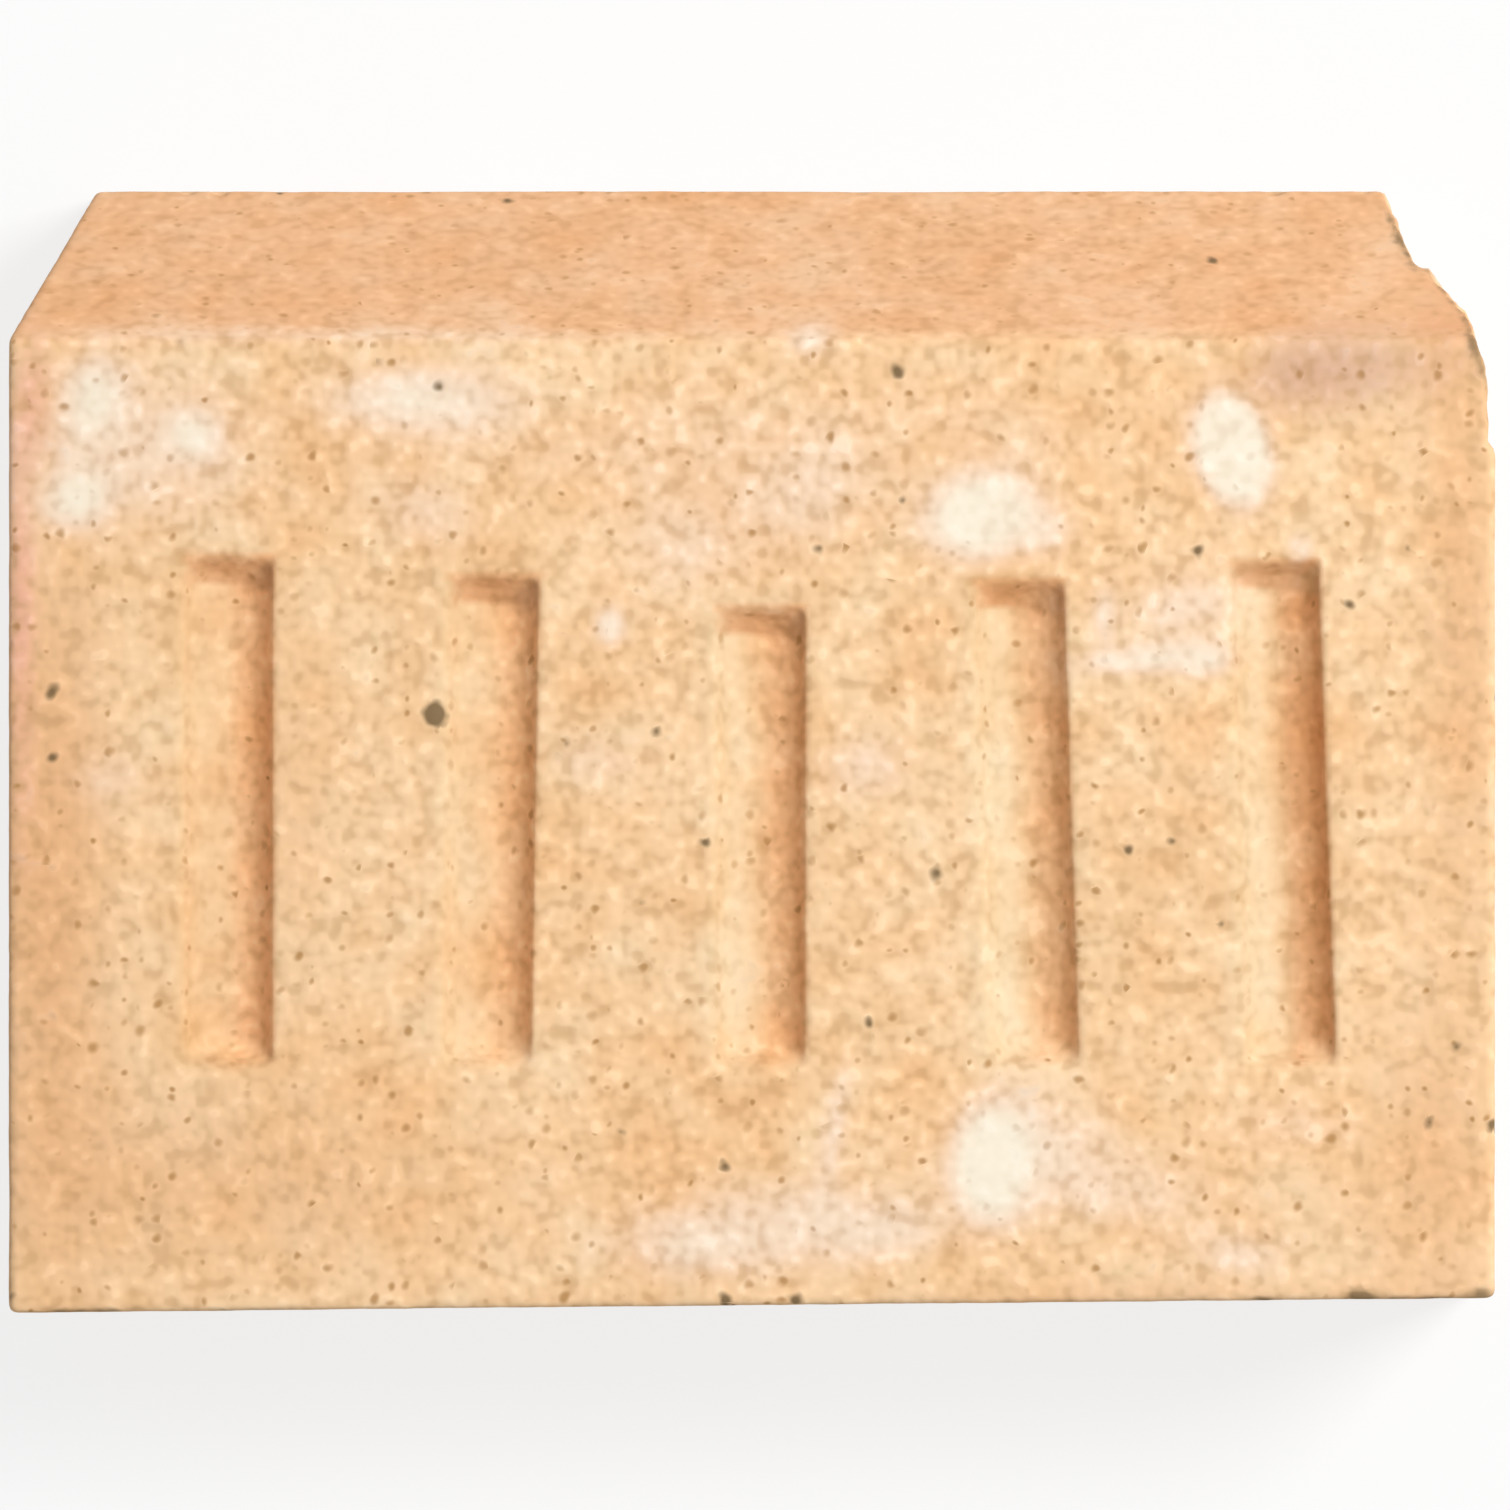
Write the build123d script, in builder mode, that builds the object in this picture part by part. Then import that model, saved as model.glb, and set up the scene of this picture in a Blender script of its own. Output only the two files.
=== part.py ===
from build123d import *

import os
from math import radians, tan

# A pressed fireclay brick: one broad face carries a row of round-bottomed flutes, the long edge
# above them is bevelled back, and the two corners on that edge are clipped over the bevel's run.
# Millimetres. The brick lies on its plain back. X runs along its length, Y across the fluted face
# towards the bevelled edge, Z up out of the face. The origin is the middle of the brick's footprint.

# Overall size
length = 228.6
depth = 173.5  # bevelled edge to foot edge, measured at the left end, where it is greatest
thickness = 63.5
foot_rise = 2.3  # the foot edge was pressed out of square, and comes in by this much at the right

# The bevel and the two clipped corners beside it
bevel_run = 23.9  # measured across the face
bevel_angle = 60.0  # degrees down from the face
corner_clip = 12.5  # taken off the length at each end of the bevelled edge

# Flutes, counted from the left
flute_leans = [0.0, -0.9, 0.0, 1.9, 2.0]  # degrees that each one turns out of square with the length
flute_strays = [(-0.6, 0.1), (0.1, 1.0), (0.9, 0.0), (0.4, 0.2), (-0.6, -0.6)]  # off the row, right and up
flute_pitch = 40.1  # between the tops of neighbours
flute_row_shift = 0.4  # the row of tops stands this far right of the middle
flute_width = 13.6
flute_sag = 4.8  # depth of the round bottom below the face
flute_end_run = 3.0  # length along the flute in which an end wall reaches full depth
foot_margin = 38.2  # plain face between the flutes and the foot edge at the left end
middle_flute_top = 65.0  # from the bevelled edge to the top of the middle flute
flute_top_step = 3.8  # each flute further out ends this much nearer to the bevel

# Arrises left by the mould
arris = 1.4
flute_arris = 0.5
flute_toe = 1.2  # soft corner between a flute's round bottom and its end walls

# Worked out from the sizes above
right = length / 2
far = depth / 2
bevel_drop = bevel_run * tan(radians(bevel_angle))
flute_radius = (flute_width**2 / 4 + flute_sag**2) / (2 * flute_sag)
flute_foot = foot_margin - far
middle_flute = len(flute_leans) // 2


def flute_cutter(run):
    """The space of one flute: a round bar with sloped ends, its upper end at the origin."""
    with BuildPart() as cutter:
        with BuildSketch(Plane.XZ):
            with Locations((0, flute_radius - flute_sag)):
                Circle(flute_radius)
        extrude(amount=run)
        with BuildSketch(Plane.YZ.offset(-flute_width)):
            with BuildLine():
                Polyline(
                    (0, 0),
                    (-flute_end_run, -flute_sag),
                    (flute_end_run - run, -flute_sag),
                    (-run, 0),
                    close=True,
                )
            make_face()
        extrude(amount=2 * flute_width, mode=Mode.INTERSECT)
        fillet(cutter.edges().filter_by(GeomType.ELLIPSE), flute_toe)
    return cutter.part


with BuildPart() as brick:
    # Plan outline, with the clipped corners and the foot edge out of square
    with BuildSketch():
        with BuildLine():
            Polyline(
                (-right, -far),
                (right, foot_rise - far),
                (right, far - bevel_run),
                (right - corner_clip, far),
                (corner_clip - right, far),
                (-right, far - bevel_run),
                close=True,
            )
        make_face()
    extrude(amount=thickness)

    # Bevel along the far edge
    with BuildSketch(Plane.YZ.offset(-right)):
        with BuildLine():
            Polyline(
                (far - bevel_run, thickness),
                (far, thickness - bevel_drop),
                (far, thickness),
                close=True,
            )
        make_face()
    extrude(amount=length, mode=Mode.SUBTRACT)

    # Softened arrises all round
    fillet(brick.edges(), arris)

    # Flutes, whose tops stand on a shallow vee
    for number, (lean, stray) in enumerate(zip(flute_leans, flute_strays)):
        steps_out = number - middle_flute
        flute_top = far - middle_flute_top + flute_top_step * abs(steps_out) + stray[1]
        across = flute_row_shift + flute_pitch * steps_out + stray[0]
        with Locations(Location((across, flute_top, thickness), (0, 0, lean))):
            add(flute_cutter(flute_top - flute_foot), mode=Mode.SUBTRACT)
    fluted_face = brick.faces().sort_by(Axis.Z)[-1]
    fillet([edge for rim in fluted_face.inner_wires() for edge in rim.edges()], flute_arris)

brick.part.label = "brick"
os.makedirs("parts", exist_ok=True)
export_step(brick.part, "parts/brick.step")
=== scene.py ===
"""A fluted fire brick lying on its back, with the worn arrises, chips, grain and pale bloom of a used one."""

import math
import random

import bpy
from mathutils import Euler, Matrix, Vector, kdtree, noise


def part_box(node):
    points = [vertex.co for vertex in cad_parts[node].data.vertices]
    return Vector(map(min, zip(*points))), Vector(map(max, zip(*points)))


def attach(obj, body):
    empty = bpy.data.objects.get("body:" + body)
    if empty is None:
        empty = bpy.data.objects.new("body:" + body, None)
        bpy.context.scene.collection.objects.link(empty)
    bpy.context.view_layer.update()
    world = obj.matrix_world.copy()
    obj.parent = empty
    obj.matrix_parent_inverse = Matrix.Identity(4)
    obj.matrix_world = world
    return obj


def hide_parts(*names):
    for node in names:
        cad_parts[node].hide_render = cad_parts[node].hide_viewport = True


bl_info = {
    "name": "Fluted Fire Brick",
    "version": (1, 0, 0),
    "blender": (4, 5, 0),
    "location": "View3D > Sidebar > Brick",
    "description": "Wears a pressed fireclay brick, gives it its fired clay and sets it in a pale studio",
    "category": "Add Mesh",
}

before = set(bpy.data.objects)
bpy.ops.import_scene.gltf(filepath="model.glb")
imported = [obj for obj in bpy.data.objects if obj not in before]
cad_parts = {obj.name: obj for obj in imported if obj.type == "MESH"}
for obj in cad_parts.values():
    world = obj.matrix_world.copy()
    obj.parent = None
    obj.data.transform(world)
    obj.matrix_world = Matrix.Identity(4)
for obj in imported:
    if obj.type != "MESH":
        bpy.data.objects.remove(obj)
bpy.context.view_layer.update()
NODE = "brick"
BODY = "root"

MM = 0.001
BRICK_LOW, BRICK_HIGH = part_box(NODE)
LENGTH, DEPTH, THICKNESS = BRICK_HIGH - BRICK_LOW
RIGHT = LENGTH / 2
FAR = DEPTH / 2

# The bevel and the clipped corners, as the brick is pressed
BEVEL_RUN = 23.9 * MM
BEVEL_ANGLE = math.radians(60)
BEVEL_DROP = BEVEL_RUN * math.tan(BEVEL_ANGLE)
CORNER_CLIP = 12.5 * MM
FOOT_RISE = 2.3 * MM

# The flutes: where each one's upper end has its middle in mm, the degrees that it leans, and three
# strengths of its painted shading: how deep the right side's is, how bright that side is, and how pale
# the left side is
FLUTES = [
    (-80.4, 29.45, 0.0, 1.0, 1.05, -0.3),
    (-39.6, 26.55, -0.9, 0.75, 1.05, 0.2),
    (1.3, 21.75, 0.0, 1.0, 1.0, 0.7),
    (40.9, 25.75, 1.9, 1.0, 0.96, 1.15),
    (80.0, 28.75, 2.0, 1.4, 0.88, 1.15),
]
FLUTE_FOOT = -48.55
FLUTE_WIDTH = 13.6
FLUTE_END_RUN = 3.0

# Use has rounded the flutes' ends and left rims. Distances are in mm, and the rim's in half widths
SOFT_END = 4.5
SOFT_RIM = 0.35
SOFTENING_STEPS = 24
FLUTE_SLACK = 1.5

# The photograph is square, and the brick's length spans all of it but a few pixels
PHOTO_SIDE_PX = 1510
BRICK_LEFT_PX = 7
BRICK_RIGHT_PX = 1497
BRICK_TOP_PX = 190
PIXEL = LENGTH / (BRICK_RIGHT_PX - BRICK_LEFT_PX)

# Iron spots on the fluted side, in mm from its middle: (x, y, radius)
IRON_SPOTS = [
    (-48.5, 5.3, 2.0),
    (22.2, 58.2, 1.35),
    (-47.9, 55.6, 0.95),
    (71.0, 75.5, 1.1),
    (-107.4, 8.9, 0.9),
    (-107.4, -1.3, 0.7),
    (108.1, -45.7, 1.1),
    (104.0, -57.2, 1.0),
    (57.7, -15.5, 0.85),
    (64.6, -14.1, 0.8),
    (72.1, -26.8, 0.85),
    (28.4, -18.9, 1.0),
    (-28.5, 0.9, 0.8),
    (-14.7, 2.8, 0.7),
    (-7.2, -14.3, 0.7),
    (-17.2, -23.6, 0.75),
    (18.1, -42.2, 0.8),
    (-4.1, -63.9, 0.8),
    (-20.2, -58.7, 0.7),
    (68.3, 30.4, 0.9),
    (100.6, 30.8, 0.8),
    (91.7, 22.2, 0.6),
    (23.2, 38.2, 0.6),
    (10.4, 30.9, 0.6),
    (-4.1, -84.5, 0.9),
    (6.6, -84.5, 0.9),
]

# Chips have radii between these, in mm
CHIP_RADII = (0.9, 1.7)

# Where the clipped corner on the right is broken back, in mm and degrees: a point on the break,
# which way its face turns from the length, and how long it is
BREAKS = [
    (100.1, 81.2, 21.4, 16.0),
    (106.8, 71.0, 37.0, 9.8),
    (110.85, 64.25, 19.6, 12.2),
    (113.1, 53.3, 1.5, 13.6),
]

# Marks of firing and use on the fluted side, and one painted highlight, in mm from its middle:
# (x, y, half length, half width, turn in degrees, strength)
BLOOM_AND_HIGHLIGHT_MARKS = [
    (73.6, 46.0, 7.0, 4.6, 105, 2.6),
    (35.7, 36.0, 8.5, 6.2, 10, 1.5),
    (45.0, 33.5, 4.0, 3.5, 0, 0.5),
    (37.0, -63.5, 8.0, 5.2, 85, 1.9),
    (45.0, -62.0, 14.0, 9.0, -10, 0.5),
    (58.0, -68.0, 14.0, 6.0, -5, 0.3),
    (83.0, -57.5, 10.0, 4.5, 0, 0.3),
    (-9.5, -76.0, 13.0, 5.5, 0, 0.6),
    (17.0, -74.0, 12.0, 5.0, 0, 0.5),
    (74.9, -77.5, 8.0, 4.0, 0, 0.45),
    (12.7, -58.0, 12.0, 2.0, 80, 0.45),
    (-50.9, 53.6, 13.0, 5.0, 0, 0.8),
    (-51.0, 36.0, 9.0, 6.0, -20, 0.4),
    (-101.3, 53.6, 6.5, 4.6, 80, 1.0),
    (-103.5, 38.5, 5.5, 4.6, 20, 0.95),
    (-85.7, 48.0, 4.4, 4.0, 0, 0.9),
    (-93.0, 46.0, 18.0, 13.0, 0, 0.45),
    (61.0, 13.8, 11.0, 2.4, 4, 0.75),
    (70.0, 13.6, 4.5, 2.6, 0, 0.7),
    (66.5, 22.0, 10.0, 5.5, 0, 0.5),
    (54.0, 20.5, 2.0, 5.0, 0, 0.5),
    (9.0, 63.0, 4.0, 3.0, 0, 0.6),
    (8.0, 38.0, 13.0, 9.0, 30, 0.4),
    (-11.0, 32.0, 10.0, 9.0, 0, 0.35),
    (-21.8, 18.8, 2.6, 3.2, 0, 0.75),
    (-24.5, -1.5, 9.0, 5.0, -15, 0.35),
    (16.5, -3.0, 8.0, 6.0, 0, 0.4),
    (-98.0, -4.0, 6.0, 5.0, 0, 0.3),
    # This one is a pale line along the arris between the face and the bevel: a painted highlight on the worn
    # arris, with pale dust on it
    (-62.0, 63.6, 46.0, 1.6, 0, 0.3),
    (-20.0, 46.0, 45.0, 10.0, 0, 0.2),
    (-4.0, 49.0, 15.0, 9.0, 0, 0.15),
    (40.0, 50.0, 20.0, 8.0, 0, 0.2),
    (5.0, -72.0, 22.0, 8.0, 0, 0.4),
    (84.1, 31.0, 2.4, 2.0, 90, 0.6),
]
STAIN_MARKS = [
    (84.6, 57.5, 12.0, 7.5, 5, 0.85),
    (98.0, 59.0, 14.0, 7.0, 0, 0.55),
    (21.0, -1.5, 5.0, 5.0, 0, 0.35),
]
FLUSH_MARKS = [
    (-110.5, 53.0, 12.0, 3.4, 85, 0.7),
    (-112.0, 20.0, 34.0, 2.6, 90, 0.8),
]
UMBER_MARKS = [
    (-78.0, -66.0, 45.0, 17.0, 0, 0.55),
    (-108.0, -20.0, 66.0, 12.0, 90, 0.8),
    (60.0, -84.0, 50.0, 4.0, 0, 0.4),
    (104.0, -62.0, 24.0, 12.0, 90, 0.55),
    (70.0, -70.0, 40.0, 14.0, 0, 0.3),
    (109.0, 20.0, 60.0, 8.0, 90, 0.65),
    (106.0, 60.0, 10.0, 7.0, 110, 0.45),
    (-70.0, -10.0, 40.0, 9.0, 90, 0.4),
    (-107.5, 50.0, 8.0, 4.0, 90, 0.8),
]
FACE_MARKS = (BLOOM_AND_HIGHLIGHT_MARKS, STAIN_MARKS, FLUSH_MARKS, UMBER_MARKS)
# Painted shadow along the foot arris and the broken corner's edge, with some dark marks on the foot arris,
# given as the marks above
EDGE_SHADOW_MARKS = [
    (-104.0, -86.6, 8.0, 1.0, 0, 0.9),
    (93.4, -83.9, 2.6, 1.0, 0, 1.3),
    (78.5, -84.4, 1.7, 0.5, 0, 0.9),
    (103.0, -84.4, 10.0, 0.45, 0, 0.6),
    (111.5, -83.6, 3.0, 1.0, 0, 0.7),
    (-80.0, -86.6, 30.0, 0.9, 0, 0.4),
    (100.1, 79.1, 7.0, 0.9, 112, 0.65),
    (106.4, 70.9, 5.5, 0.9, 127, 0.65),
    (111.0, 61.6, 7.5, 0.9, 107, 0.6),
    (113.1, 52.0, 6.0, 0.8, 90, 0.5),
]

# Painted shading, which the clay's colour is multiplied by. It was set until the flutes and the bevel
# look as photographed, and it doesn't follow the light. 1 leaves the clay plain
PLAIN = (1.0, 1.0, 1.0)
LIT_SHADE = (1.02, 1.12, 1.22)
FLUTE_WALL_SHADE = (1.0, 0.87, 0.78)
FLUTE_END_SHADE = (0.80, 0.66, 0.58)
BEVEL_SHADE = (0.93, 0.805, 0.77)

# The same across a flute: -1 is its left rim and 1 its right rim, and the halo is where it begins
FLUTE_HALO = 1.6
FLUTE_SHADES = [
    (-FLUTE_HALO, PLAIN),
    (-1.25, (0.95, 0.955, 0.955)),
    (-1.0, (0.88, 0.907, 0.90)),
    (-0.8, (0.865, 0.907, 0.912)),
    (-0.55, (0.86, 0.902, 0.926)),
    (0.0, (0.92, 0.90, 0.87)),
    (0.27, (1.0, 0.89, 0.83)),
    (0.5, (1.02, 0.865, 0.77)),
    (0.8, (1.03, 0.83, 0.70)),
    (0.97, (1.05, 0.85, 0.73)),
    (1.1, PLAIN),
]

# The softbox stands this way from the brick
LIGHT_FROM = (0.70, 0.40, 1.0)
FLOOR_SIDE = 8.0
FLOOR_PAINT = (0.85, 0.85, 0.85)
FLOOR_GLOW = 0.8


def colour_property(name, description, default):
    """A colour in the sidebar."""
    return bpy.props.FloatVectorProperty(
        name=name, description=description, subtype="COLOR", size=3, min=0, max=1, default=default
    )


def length_property(name, description, default):
    """A length in the sidebar, in metres."""
    return bpy.props.FloatProperty(
        name=name, description=description, subtype="DISTANCE", unit="LENGTH", precision=5, default=default
    )


class BrickWear(bpy.types.PropertyGroup):
    """How far the brick has worn from its pressed form."""

    mesh_grid: length_property("Mesh grid", "Spacing of the mesh that the wear is worked on", 0.6 * MM)
    unevenness: length_property("Unevenness", "How far the faces wander from flat", 0.25 * MM)
    roughness: length_property("Roughness", "Height of the coarse grain", 0.10 * MM)
    chips: bpy.props.IntProperty(
        name="Chips", description="Small chips along the arrises", min=3, default=130
    )
    spots: bpy.props.IntProperty(
        name="Iron spots", description="Iron spots strewn over the sides and the back", min=0, default=60
    )
    triangles: bpy.props.IntProperty(
        name="Triangles", description="The finished mesh has about this many", min=1000, default=190000
    )
    seed: bpy.props.IntProperty(name="Seed", description="Another number places other chips", default=11)


class BrickColours(bpy.types.PropertyGroup):
    """Colours of the fired clay."""

    body: colour_property("Body", "The clay itself", (0.84, 0.52, 0.265))
    cream: colour_property("Cream", "The clay where it fired paler", (0.92, 0.69, 0.44))
    rose: colour_property("Rose", "The rim of the bloom", (0.89, 0.64, 0.46))
    bloom: colour_property("Bloom", "Pale salts and ash on the face", (0.92, 0.83, 0.67))
    speck: colour_property("Speck", "Pinholes and fine dark grains", (0.39, 0.185, 0.045))
    iron: colour_property("Iron", "Iron spots", (0.18, 0.115, 0.05))
    stain: colour_property("Stain", "The mauve stain by the right corner", (0.66, 0.40, 0.27))
    flush: colour_property("Flush", "The orange flush at the left end", (0.81, 0.42, 0.285))
    umber: colour_property("Umber", "The clay where it fired darker", (0.765, 0.415, 0.20))


class BrickStudio(bpy.types.PropertyGroup):
    """Light and camera."""

    lens: bpy.props.FloatProperty(
        name="Lens", description="Focal length of the camera", unit="CAMERA", default=600.0
    )
    fill: bpy.props.FloatProperty(
        name="Fill", description="Share of the light that comes from all round", min=0, max=1, default=0.45
    )
    lamp_distance: length_property("Lamp distance", "From the brick to the softbox", 3.0)
    lamp_side: length_property("Lamp side", "Width of the square softbox", 0.95)


class Term:
    """A shader socket that takes part in Python sums. Each sum adds its Math node to the same tree."""

    def __init__(self, tree, socket):
        self.tree = tree
        self.socket = socket

    def math(self, operation, *others):
        """This socket and the others through one Math node."""
        node = self.tree.nodes.new("ShaderNodeMath")
        node.operation = operation
        for entry, value in zip(node.inputs, (self, *others)):
            feed(self.tree, entry, value)
        return Term(self.tree, node.outputs[0])

    def __add__(self, other):
        return self.math("ADD", other)

    def __mul__(self, other):
        return self.math("MULTIPLY", other)

    def __sub__(self, other):
        return self.math("SUBTRACT", other)

    def __rsub__(self, other):
        return (self * -1) + other

    __radd__ = __add__
    __rmul__ = __mul__

    def larger(self, other):
        """The larger of the two."""
        return self.math("MAXIMUM", other)

    def beside(self, name):
        """Another output of the same node."""
        return Term(self.tree, self.socket.node.outputs[name])


def feed(tree, entry, value):
    """Links or sets one input socket."""
    if isinstance(value, Term):
        tree.links.new(value.socket, entry)
    elif entry.type == "RGBA" and len(value) == 3:
        entry.default_value = (*value, 1.0)
    else:
        entry.default_value = value


class Finish:
    """A material in the making."""

    def __init__(self, name):
        self.material = bpy.data.materials.new(name)
        self.material.use_nodes = True
        self.tree = self.material.node_tree
        self.tree.nodes.clear()

    def add(self, kind, result, settings=None, inputs=None):
        """Adds a node: its settings first, then its sockets. Returns the output named by result."""
        node = self.tree.nodes.new(kind)
        for name, value in (settings or {}).items():
            setattr(node, name, value)
        for name, value in (inputs or {}).items():
            entry = next(s for s in node.inputs if name in (s.identifier, s.name))
            feed(self.tree, entry, value)
        output = next((s for s in node.outputs if result in (s.identifier, s.name)), None)
        return Term(self.tree, output)

    def written(self, name, output="Color"):
        """What the mesh carries under this name."""
        return self.add("ShaderNodeAttribute", output, {"attribute_name": name})

    def channels(self, colour):
        """The three numbers of a colour."""
        red = self.add("ShaderNodeSeparateColor", "Red", inputs={"Color": colour})
        return red, red.beside("Green"), red.beside("Blue")

    def noise(self, place, lattice, detail, roughness):
        """Soft noise about 0.5 whose coarsest lumps stand on a lattice of this spacing."""
        inputs = {"Vector": place, "Scale": 1 / lattice, "Detail": detail, "Roughness": roughness}
        return self.add("ShaderNodeTexNoise", "Fac", inputs=inputs)

    def between(self, value, low, high):
        """Rises smoothly from 0 at low to 1 at high, or falls where low is the larger."""
        inputs = {"Value": value, "From Min": low, "From Max": high}
        return self.add("ShaderNodeMapRange", "Result", {"interpolation_type": "SMOOTHSTEP"}, inputs)

    def mixed(self, share, first, second, blend="MIX"):
        """Colour first, going over to colour second as share goes from 0 to 1."""
        inputs = {"Factor_Float": share, "A_Color": first, "B_Color": second}
        settings = {"data_type": "RGBA", "blend_type": blend}
        return self.add("ShaderNodeMix", "Result_Color", settings, inputs)

    def scaled(self, vector, factor):
        """A vector or colour times a number."""
        inputs = {"Vector": vector, "Scale": factor}
        return self.add("ShaderNodeVectorMath", "Vector", {"operation": "SCALE"}, inputs)

    def vector_sum(self, first, second):
        """Two vectors added."""
        inputs = {"Vector": first, "Vector_001": second}
        return self.add("ShaderNodeVectorMath", "Vector", {"operation": "ADD"}, inputs)

    def finished(self, shader):
        """Links the shader to the output and returns the material."""
        self.add("ShaderNodeOutputMaterial", None, inputs={"Surface": shader})
        return self.material


def deselect_all():
    """Nothing selected, in object mode."""
    bpy.ops.object.select_all(action="DESELECT")


def make_active(piece):
    """Selects one object alone and makes it the active one."""
    deselect_all()
    piece.select_set(True)
    bpy.context.view_layer.objects.active = piece


def apply_modifier(piece, name, kind, **settings):
    """Adds a modifier with its settings and applies it."""
    make_active(piece)
    modifier = piece.modifiers.new(name, kind)
    for key, value in settings.items():
        setattr(modifier, key, value)
    bpy.ops.object.modifier_apply(modifier=modifier.name)


def roughen(piece, name, size, height, middle=1.0):
    """Pushes a surface in and out by a cloud pattern."""
    texture = bpy.data.textures.new(name, "CLOUDS")
    texture.noise_scale = size
    texture.noise_depth = 2
    settings = {"texture": texture, "strength": height, "mid_level": middle, "texture_coords": "LOCAL"}
    apply_modifier(piece, name, "DISPLACE", **settings)


def join(pieces):
    """Joins meshes into the first."""
    deselect_all()
    for piece in pieces:
        piece.select_set(True)
    bpy.context.view_layer.objects.active = pieces[0]
    bpy.ops.object.join()
    return pieces[0]


def stone_kinds():
    """Three lumpy stones of radius 1, whose copies cut the chips."""
    kinds = []
    for lumps in (0.6, 0.9, 1.3):
        bpy.ops.mesh.primitive_ico_sphere_add(subdivisions=2, radius=1.0, location=(0, 0, 0))
        stone = bpy.context.view_layer.objects.active
        roughen(stone, "stone lumps", lumps, 0.9, middle=0.5)
        kinds.append(stone)
    return kinds


def arris_lines():
    """The brick's outer arrises, each as its two ends."""
    bevel_y, bevel_z = FAR - BEVEL_RUN, THICKNESS - BEVEL_DROP
    clip_x = RIGHT - CORNER_CLIP
    lines = [
        ((-RIGHT, -FAR, THICKNESS), (RIGHT, -FAR + FOOT_RISE, THICKNESS)),
        ((-RIGHT, -FAR, 0), (RIGHT, -FAR + FOOT_RISE, 0)),
        ((-RIGHT, bevel_y, THICKNESS), (RIGHT, bevel_y, THICKNESS)),
        ((-clip_x, FAR, bevel_z), (clip_x, FAR, bevel_z)),
        ((-clip_x, FAR, 0), (clip_x, FAR, 0)),
    ]
    for side in (-RIGHT, RIGHT):
        clip = math.copysign(clip_x, side)
        lines += [
            ((side, -FAR, THICKNESS), (side, bevel_y, THICKNESS)),
            ((side, -FAR, 0), (side, bevel_y, 0)),
            ((side, -FAR, 0), (side, -FAR, THICKNESS)),
            ((side, bevel_y, THICKNESS), (clip, FAR, bevel_z)),
            ((side, bevel_y, 0), (side, bevel_y, THICKNESS)),
            ((clip, FAR, 0), (clip, FAR, bevel_z)),
        ]
    return [(Vector(start), Vector(end)) for start, end in lines]


def chip_cutters(wear):
    """Small stones strewn along the arrises."""
    dice = random.Random(wear.seed)
    lines = arris_lines()
    weights = [(end - start).length for start, end in lines]
    kinds = stone_kinds()
    stones = []
    for _ in range(wear.chips):
        start, end = dice.choices(lines, weights)[0]
        place = start.lerp(end, dice.random())
        size = dice.uniform(*CHIP_RADII) * MM
        outwards = Vector((place.x / LENGTH, place.y / DEPTH, place.z / THICKNESS - 0.5)).normalized()
        stone = dice.choice(kinds).copy()
        stone.data = stone.data.copy()
        bpy.context.scene.collection.objects.link(stone)
        turn = Euler([dice.uniform(0, math.tau) for _ in range(3)]).to_matrix().to_4x4()
        spread = Matrix.Diagonal((size, size * dice.uniform(0.6, 1.0), size * dice.uniform(0.5, 1.0), 1))
        stone.data.transform(Matrix.Translation(place + outwards * size * 0.3) @ turn @ spread)
        stones.append(stone)
    for kind in kinds:
        bpy.data.objects.remove(kind)
    return stones


def broken_corner():
    """Rough slabs that take the clipped wall on the right back from its pressed plane."""
    slabs = []
    for x, y, turn, length in BREAKS:
        bpy.ops.mesh.primitive_cube_add(size=1.0, location=(0, 0, 0))
        slab = bpy.context.view_layer.objects.active
        bpy.ops.object.mode_set(mode="EDIT")
        bpy.ops.mesh.select_all(action="SELECT")
        bpy.ops.mesh.subdivide(number_cuts=40)
        bpy.ops.object.mode_set(mode="OBJECT")
        width, height = 12 * MM, 90 * MM
        size = Matrix.Diagonal((width, length * MM, height, 1)) @ Matrix.Translation((0.5, 0, 0))
        place = Matrix.Translation((x * MM, y * MM, THICKNESS / 2))
        slab.data.transform(place @ Matrix.Rotation(math.radians(turn), 4, "Z") @ size)
        roughen(slab, "broken face", 6 * MM, 1.6 * MM, middle=0.5)
        roughen(slab, "broken grain", 2.2 * MM, 1.3 * MM, middle=0.5)
        slabs.append(slab)
    return slabs


def place_in_flute(x, y):
    """The flute at a point of the face, how far across it the point is (-1 to 1), and mm up from its top."""
    for flute in FLUTES:
        top_x, top_y, lean = flute[:3]
        right, up = x / MM - top_x, y / MM - top_y
        if abs(right) < FLUTE_WIDTH and up < FLUTE_SLACK and y / MM > FLUTE_FOOT - FLUTE_SLACK:
            angle = math.radians(lean)
            return flute, (right * math.cos(angle) + up * math.sin(angle)) / (FLUTE_WIDTH / 2), up
    return None, 0, 0


def rim_softness(x, y, z):
    """How far a point of the mesh is smoothed: fully by a flute's left rim and its ends."""
    flute, across, up = place_in_flute(x, y)
    if flute is None or z < THICKNESS - 7 * MM:
        return 0.0
    rim = 1 - abs(across + 1) / SOFT_RIM
    from_end = min(-up, y / MM - FLUTE_FOOT)
    end = min(1.0, SOFT_END - from_end, (0.95 - across) / 0.3)
    return max(0.0, rim, end)


def soften_rims(brick):
    """Smooths the flutes where use has rounded them."""
    group = brick.vertex_groups.new(name="soft")
    for vertex in brick.data.vertices:
        softness = rim_softness(*vertex.co)
        if softness > 0:
            group.add([vertex.index], softness, "REPLACE")
    settings = {"factor": 0.5, "iterations": SOFTENING_STEPS, "vertex_group": group.name}
    apply_modifier(brick, "Softened", "SMOOTH", **settings)
    brick.vertex_groups.clear()


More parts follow.
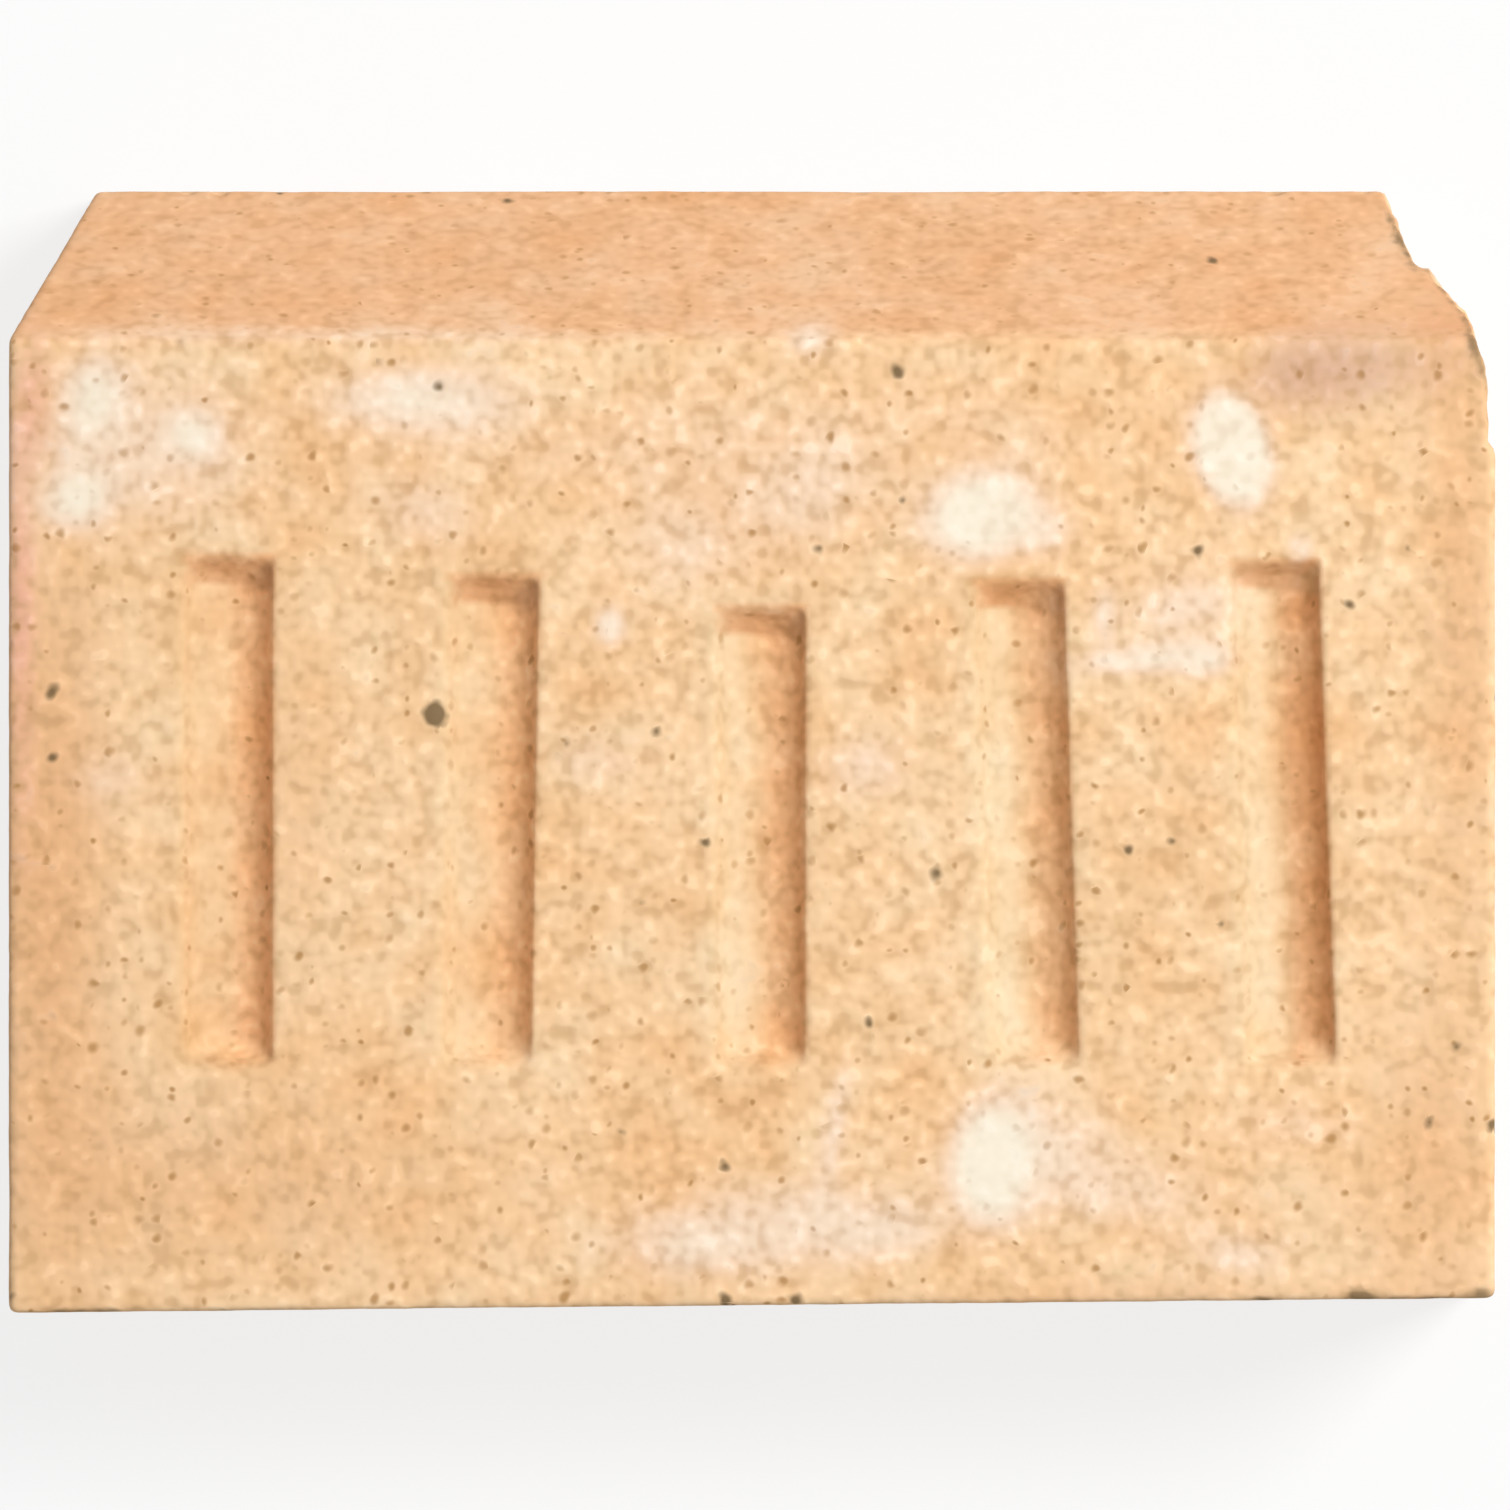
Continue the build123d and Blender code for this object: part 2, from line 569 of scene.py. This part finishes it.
def brick_mesh(wear):
    """The worn brick: a copy of its exact form, chipped, roughened and thinned to its triangles."""
    make_active(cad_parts[NODE])
    bpy.ops.object.duplicate()
    brick = bpy.context.view_layer.objects.active
    brick.name = "worn_brick"
    brick.data.name = "worn_brick"
    bpy.ops.object.mode_set(mode="EDIT")
    bpy.ops.mesh.select_all(action="SELECT")
    bpy.ops.mesh.remove_doubles(threshold=0.001 * MM)
    bpy.ops.object.mode_set(mode="OBJECT")

    for cutter in (join(chip_cutters(wear)), *broken_corner()):
        apply_modifier(brick, "Chipped", "BOOLEAN", operation="DIFFERENCE", solver="MANIFOLD", object=cutter)
        bpy.data.objects.remove(cutter)

    apply_modifier(brick, "Grid", "REMESH", mode="VOXEL", voxel_size=wear.mesh_grid)
    apply_modifier(brick, "Worn", "SMOOTH", factor=0.5, iterations=3)
    soften_rims(brick)
    roughen(brick, "unevenness", 45 * MM, wear.unevenness)
    roughen(brick, "lumps", 7 * MM, wear.unevenness * 0.6)
    roughen(brick, "grain", 2.2 * MM, wear.roughness)
    triangles = sum(len(face.vertices) - 2 for face in brick.data.polygons)
    apply_modifier(brick, "Thinned", "DECIMATE", ratio=wear.triangles / triangles)
    make_active(brick)
    bpy.ops.object.shade_smooth()
    brick.data.materials.clear()
    return brick


def clamped(value):
    """No less than 0 and no more than 1."""
    return min(1.0, max(0.0, value))


def ramp(value, start, end):
    """0 where the value is at start, 1 where it is at end, and even between them."""
    return clamped((value - start) / (end - start))


def blend(share, first, second):
    """From first to second as share goes from 0 to 1."""
    share = clamped(share)
    return [a + (b - a) * share for a, b in zip(first, second)]


def strength_at(x, y, marks):
    """How strongly a point of the face is marked. A mark is full in its middle and fades outwards."""
    clear = 1.0
    for mark_x, mark_y, half_length, half_width, turn, strength in marks:
        along, across = x / MM - mark_x, y / MM - mark_y
        reach = 2.2 * max(half_length, half_width)
        if abs(along) > reach or abs(across) > reach:
            continue
        angle = math.radians(turn)
        u = (along * math.cos(angle) + across * math.sin(angle)) / half_length
        v = (across * math.cos(angle) - along * math.sin(angle)) / half_width
        clear *= 1 - min(1, strength * math.exp(-(u * u + v * v)))
    return 1 - clear


def stray_marks(place):
    """Marks of the sides and the back, which the lists above don't reach: faint bloom and darker clay."""
    elsewhere = Vector((3, 5, 7))
    bloom = max(0.0, noise.noise(place / (28 * MM)) - 0.25) * 1.2
    umber = max(0.0, noise.noise(place / (45 * MM) + elsewhere) + 0.25) * 0.9
    stain, flush = 0.0, 0.15
    return bloom, stain, flush, umber


def faces_up(vertex):
    """1 on the fluted side with its flutes and bevel, and down to 0 over the first few mm of the walls."""
    y, z = vertex.co.y, vertex.co.z
    if vertex.normal.z > 0.3 and z > THICKNESS - BEVEL_DROP - 1 * MM:
        return 1.0
    bevelled_off = max(0.0, y - FAR + BEVEL_RUN) * BEVEL_DROP / BEVEL_RUN
    return clamped(1 - (THICKNESS - bevelled_off - z) / (5 * MM))


def shade_across(across, depth, lift):
    """The painted shading on a line across a flute."""
    shade = PLAIN
    for (start, first), (end, second) in zip(FLUTE_SHADES, FLUTE_SHADES[1:]):
        if start <= across < end:
            shade = blend((across - start) / (end - start), first, second)
    if across > 0:
        shade = [1 - (1 - part) * depth for part in shade]
    bright = 1 + (lift - 1) * ramp(across, -0.35, 0.25)
    return [part * bright for part in shade]


def flute_shade(x, y):
    """What the clay's colour is multiplied by in and around the flutes, and how far its grain is calmed."""
    flute, across, up = place_in_flute(x, y)
    if flute is None or abs(across) > FLUTE_HALO:
        return PLAIN, 0.0
    depth, lift, paleness = flute[3:]
    above_foot = y / MM - FLUTE_FOOT
    left_half = ramp(across, 0, -0.4)
    shade = shade_across(across, depth, lift)
    lit = min(ramp(across, -FLUTE_HALO, -0.8), left_half, ramp(up, -2.5, -4.5), ramp(above_foot, 0, 8))
    shade = [part * (1 + (pale - 1) * lit * paleness) for part, pale in zip(shade, LIT_SHADE)]

    # The end wall at the top, and the way out to plain clay at the right rim, the foot and the top
    wall = FLUTE_END_RUN * max(0.0, 1 - across * across)
    on_wall = min(ramp(up, -wall - 1, -wall), ramp(across, -1.2, -0.9), ramp(across, 0.7, 0.3))
    shade = blend(on_wall, shade, FLUTE_WALL_SHADE)
    from_foot = ramp(above_foot, 0, 5) if across > 0.3 else ramp(above_foot, -1.5, 1.5)
    shade = blend(min(ramp(across, 1.15, 1.05), from_foot, ramp(up, 1.1, 0.1)), PLAIN, shade)

    # A band below the end wall is painted as dark, because the photograph's dark end reaches further down
    band_foot = -4.4 - max(0.0, across + 0.3)
    band = min(ramp(up, 0.8 - wall, -0.8 - wall), ramp(up, band_foot, band_foot + 1.2))
    band = min(band, ramp(across, -1.1, -0.6), ramp(across, 1.12, 0.97))
    darker = FLUTE_END_SHADE if across < 0 else [min(a, b) for a, b in zip(shade, FLUTE_END_SHADE)]
    calm = min(ramp(across, -1.4, -0.6), left_half, ramp(above_foot, 0, 5), ramp(up, 0.5, -1.5))
    return blend(band, shade, darker), 0.45 * calm


def iron_spots(brick, wear):
    """All iron spots as a place and a radius: those of the fluted side, and strewn ones elsewhere."""
    spots = []
    for x, y, radius in IRON_SPOTS:
        above = Vector((x * MM, y * MM, 2 * THICKNESS))
        hit, place, _, _ = brick.ray_cast(above, Vector((0, 0, -1)))
        if not hit:
            raise RuntimeError(f"No clay under the iron spot at {x}, {y}")
        spots.append((place, radius * MM))
    dice = random.Random(wear.seed + 1)
    vertices = brick.data.vertices
    while len(spots) < len(IRON_SPOTS) + wear.spots:
        place = vertices[dice.randrange(len(vertices))].co
        at_an_end = abs(place.x) > RIGHT - 2 * MM
        on_a_long_edge = place.y > FAR - 2 * MM or place.y < 3 * MM - FAR
        on_the_back = place.z < 2 * MM
        if at_an_end or on_a_long_edge or on_the_back:
            spots.append((place.copy(), dice.uniform(0.4, 1.0) ** 2 * 1.6 * MM))
    return spots


def write_marks(brick, wear):
    """Writes into the mesh where its marks lie: tints, painted shading and edge shadow, and the nearest iron
    spot.
    """
    mesh = brick.data
    kinds = {
        "tints": "FLOAT_COLOR",
        "shades": "FLOAT_COLOR",
        "from_spot": "FLOAT_VECTOR",
        "spot_radius": "FLOAT",
        "calm": "FLOAT",
    }
    for name, kind in kinds.items():
        mesh.attributes.new(name, kind, "POINT")
    tints, shades, offsets, radii, calms = (mesh.attributes[name].data for name in kinds)
    spots = iron_spots(brick, wear)
    tree = kdtree.KDTree(len(spots))
    for index, (place, _) in enumerate(spots):
        tree.insert(place, index)
    tree.balance()
    for index, vertex in enumerate(mesh.vertices):
        x, y, z = place = vertex.co
        facing = faces_up(vertex)
        marks = [strength_at(x, y, each) for each in FACE_MARKS]
        tints[index].color = blend(facing, stray_marks(place), marks)
        shade, calm = flute_shade(x, y) if z > THICKNESS - 6 * MM else (PLAIN, 0.0)
        on_bevel = clamped((y - FAR + BEVEL_RUN + 1 * MM) / (3 * MM)) * facing
        calms[index].value = max(calm, on_bevel * 0.3)
        # The painted shadow along the foot arris and the broken corner's edge, kept in the alpha of shades
        edge_shadow = strength_at(x, y, EDGE_SHADOW_MARKS) * facing
        shades[index].color = (*blend(on_bevel, shade, BEVEL_SHADE), edge_shadow)
        centre, spot, distance = tree.find(place)
        radius = spots[spot][1]
        offsets[index].vector = place - centre
        radii[index].value = radius if distance < radius + 1.5 * MM else -1 * MM


def fired_clay(colours):
    """Buff fireclay: mottling, flecks, pinholes, iron spots, and bloom lying on the face."""
    clay = Finish("fired_clay")
    place = clay.add("ShaderNodeTexCoord", "Object")
    tints = clay.written("tints")
    bloom_and_highlight_here, stain_here, flush_here = clay.channels(tints)
    shades = clay.written("shades")
    mottle, grain_lump, speck_cell, grain_relief = 28 * MM, 3.2 * MM, 2.4 * MM, 0.3 * MM

    # Mottling in paleness and in hue: three steps of noise, all as strong
    broad = clay.noise(place, mottle, 2, 1.0)
    _, hue, _ = clay.channels(broad.beside("Color"))
    fine = clay.noise(place, grain_lump, 1, 0.95)
    ragged = (broad - 0.5) + (fine - 0.5)
    paleness = clay.between((broad - 0.5) * 1.3 + 0.5, 0.0, 1.0)
    colour = clay.mixed(paleness, tuple(colours.body), tuple(colours.cream))
    colour = clay.mixed(clay.between(hue, 0.3, 0.7), colour, (1.0, 0.93, 0.87), "MULTIPLY")

    # Where it fired darker or redder, and the painted shading of the bevel and the flutes
    for strength, tint in (
        (tints.beside("Alpha"), colours.umber),
        (flush_here, colours.flush),
        (stain_here, colours.stain),
    ):
        colour = clay.mixed(clay.between(strength + ragged * 0.5, 0.1, 1.1), colour, tuple(tint))
    colour = clay.mixed(1.0, colour, shades, "MULTIPLY")

    # Bloom, with a rosy rim, and the painted highlight along the arris of the bevel
    salts = bloom_and_highlight_here + (broad - 0.5) * 0.4 + (fine - 0.5) * 0.2
    powder = clay.between(salts, 0.25, 1.15)
    colour = clay.mixed(clay.between(salts, 0.02, 0.6) * 0.85, colour, tuple(colours.rose))
    colour = clay.mixed(powder, colour, tuple(colours.bloom))

    # Grain and dark flecks: what is darker is also browner
    calm = clay.written("calm", "Fac")
    bare = (1.0 - powder * 0.75) * (1.0 - calm)
    flecks = clay.between(fine, 0.47, 0.31)
    grain = clay.vector_sum((1.02, 1.02, 1.02), clay.scaled((0.50, 0.62, 0.80), (fine - 0.5) * bare))
    colour = clay.mixed(1.0, colour, grain, "MULTIPLY")

    # Pinholes, fine dark grains and a few pale ones, and the painted shadow along the foot arris and the
    # broken edge
    warped = clay.vector_sum(place, clay.scaled((1.0, 1.0, 1.0), (fine - 0.5) * (1.6 * MM)))
    near = clay.add("ShaderNodeTexVoronoi", "Distance", inputs={"Vector": warped, "Scale": 1 / speck_cell})
    kind, size, _ = clay.channels(near.beside("Color"))
    reach = near * (1.9 - size)
    dark = clay.between(reach, 0.48, 0.10) * clay.between(kind, 0.5, 1.0) * 0.75
    pale = clay.between(fine, 0.60, 0.72)
    # The painted shadow along the edges, drawn in the iron colour
    edge_shadow = shades.beside("Alpha")
    colour = clay.mixed((flecks * 0.14).larger(dark) * bare, colour, tuple(colours.speck))
    colour = clay.mixed(pale * bare, colour, (1.04, 1.08, 1.12), "MULTIPLY")
    colour = clay.mixed(clay.between(edge_shadow + ragged, 0.2, 0.9) * 0.8, colour, tuple(colours.iron))

    # Iron spots
    offset = clay.written("from_spot", "Vector")
    distance = clay.add("ShaderNodeVectorMath", "Value", {"operation": "LENGTH"}, {"Vector": offset})
    inside = clay.written("spot_radius", "Fac") - distance + (fine - 0.5) * (3.0 * MM)
    iron = clay.between(inside, -0.4 * MM, 0.9 * MM)
    colour = clay.mixed(iron * 0.92, colour, tuple(colours.iron))

    relief = {"Height": (fine - 0.5) * bare * (1.0 - calm), "Strength": 1.0, "Distance": grain_relief}
    bump = clay.add("ShaderNodeBump", "Normal", inputs=relief)
    surface = {"Base Color": colour, "Roughness": 0.9 - iron * 0.3, "Normal": bump, "Specular IOR Level": 0.1}
    return clay.finished(clay.add("ShaderNodeBsdfPrincipled", "BSDF", inputs=surface))


class BRICK_OT_wear_brick(bpy.types.Operator):
    """Model the worn brick over its exact form and give it its fired clay"""

    bl_idname = "brick.wear_brick"
    bl_label = "Worn Brick"
    bl_options = {"REGISTER", "UNDO"}

    def execute(self, context):
        wear = context.scene.brick_wear
        brick = brick_mesh(wear)
        write_marks(brick, wear)
        brick.data.materials.append(fired_clay(context.scene.brick_colours))
        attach(brick, BODY)
        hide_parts(NODE)
        return {"FINISHED"}


def white_floor():
    """A wide white floor under the brick that the camera sees as white, with the brick's shadow on it."""
    bpy.ops.mesh.primitive_plane_add(size=FLOOR_SIDE, location=(0, 0, 0))
    floor = bpy.context.view_layer.objects.active
    floor.name = "floor"
    white = Finish("white_floor")
    seen = white.add("ShaderNodeLightPath", "Is Camera Ray")
    paint = white.add("ShaderNodeBsdfDiffuse", "BSDF", inputs={"Color": FLOOR_PAINT})
    glow = white.add("ShaderNodeEmission", "Emission", inputs={"Color": (1, 1, 1), "Strength": 1.0})
    sides = {"Fac": seen * FLOOR_GLOW, "Shader": paint, "Shader_001": glow}
    shader = white.add("ShaderNodeMixShader", "Shader", inputs=sides)
    floor.data.materials.append(white.finished(shader))


def soft_light(studio):
    """A softbox to the upper right of the face, and an even white surround. A white face gets 1 in all."""
    towards = Vector(LIGHT_FROM).normalized()
    aim = Vector((0, 0, THICKNESS))
    box = bpy.data.lights.new("softbox", "AREA")
    box.shape = "SQUARE"
    box.size = studio.lamp_side
    full = 4 * math.pi * studio.lamp_distance**2 / towards.z
    box.energy = (1 - studio.fill) * full
    lamp = bpy.data.objects.new("softbox", box)
    lamp.location = aim + towards * studio.lamp_distance
    lamp.rotation_euler = (-towards).to_track_quat("-Z", "Y").to_euler()
    bpy.context.scene.collection.objects.link(lamp)

    world = bpy.data.worlds.new("surround")
    world.use_nodes = True
    tree = world.node_tree
    tree.nodes.clear()
    path = tree.nodes.new("ShaderNodeLightPath")
    seen = Term(tree, path.outputs["Is Camera Ray"])
    sky = tree.nodes.new("ShaderNodeBackground")
    feed(tree, sky.inputs["Strength"], seen * (1 - studio.fill) + studio.fill)
    out = tree.nodes.new("ShaderNodeOutputWorld")
    tree.links.new(sky.outputs[0], out.inputs["Surface"])
    bpy.context.scene.world = world


def overhead_camera(studio):
    """Looks straight down on the fluted face, with the brick where the photograph has it."""
    lens = bpy.data.cameras.new("camera")
    lens.lens = studio.lens
    span = PHOTO_SIDE_PX * PIXEL
    distance = span * studio.lens / lens.sensor_width
    middle_x = (PHOTO_SIDE_PX - BRICK_LEFT_PX - BRICK_RIGHT_PX) / 2 * PIXEL
    seen_smaller = distance / (distance + BEVEL_DROP)
    middle_y = FAR - (PHOTO_SIDE_PX / 2 - BRICK_TOP_PX) * PIXEL / seen_smaller
    lens.clip_start = distance / 100
    lens.clip_end = distance * 100
    camera = bpy.data.objects.new("camera", lens)
    camera.location = (middle_x, middle_y, THICKNESS + distance)
    bpy.context.scene.collection.objects.link(camera)
    bpy.context.scene.camera = camera


class BRICK_OT_set_studio(bpy.types.Operator):
    """Lay the white floor and set the light and the camera"""

    bl_idname = "brick.set_studio"
    bl_label = "Studio"
    bl_options = {"REGISTER", "UNDO"}

    def execute(self, context):
        studio = context.scene.brick_studio
        white_floor()
        soft_light(studio)
        overhead_camera(studio)
        context.scene.view_settings.view_transform = "Standard"
        return {"FINISHED"}


class BRICK_PT_panel(bpy.types.Panel):
    """The brick's sizes, colours and steps"""

    bl_label = "Fluted Fire Brick"
    bl_idname = "BRICK_PT_panel"
    bl_space_type = "VIEW_3D"
    bl_region_type = "UI"
    bl_category = "Brick"

    def draw(self, context):
        for title, group in GROUPS:
            box = self.layout.box()
            box.label(text=title)
            settings = getattr(context.scene, group)
            for name in settings.bl_rna.properties.keys():
                if name not in ("rna_type", "name"):
                    box.prop(settings, name)
        self.layout.operator(BRICK_OT_wear_brick.bl_idname)
        self.layout.operator(BRICK_OT_set_studio.bl_idname)


GROUPS = (("Wear", "brick_wear"), ("Colours", "brick_colours"), ("Studio", "brick_studio"))
CLASSES = (
    BrickWear,
    BrickColours,
    BrickStudio,
    BRICK_OT_wear_brick,
    BRICK_OT_set_studio,
    BRICK_PT_panel,
)


def register():
    for each in CLASSES:
        bpy.utils.register_class(each)
    bpy.types.Scene.brick_wear = bpy.props.PointerProperty(type=BrickWear)
    bpy.types.Scene.brick_colours = bpy.props.PointerProperty(type=BrickColours)
    bpy.types.Scene.brick_studio = bpy.props.PointerProperty(type=BrickStudio)


def unregister():
    del bpy.types.Scene.brick_wear
    del bpy.types.Scene.brick_colours
    del bpy.types.Scene.brick_studio
    for each in reversed(CLASSES):
        bpy.utils.unregister_class(each)


def main():
    register()
    bpy.ops.brick.wear_brick()
    bpy.ops.brick.set_studio()


if __name__ == "__main__":
    main()
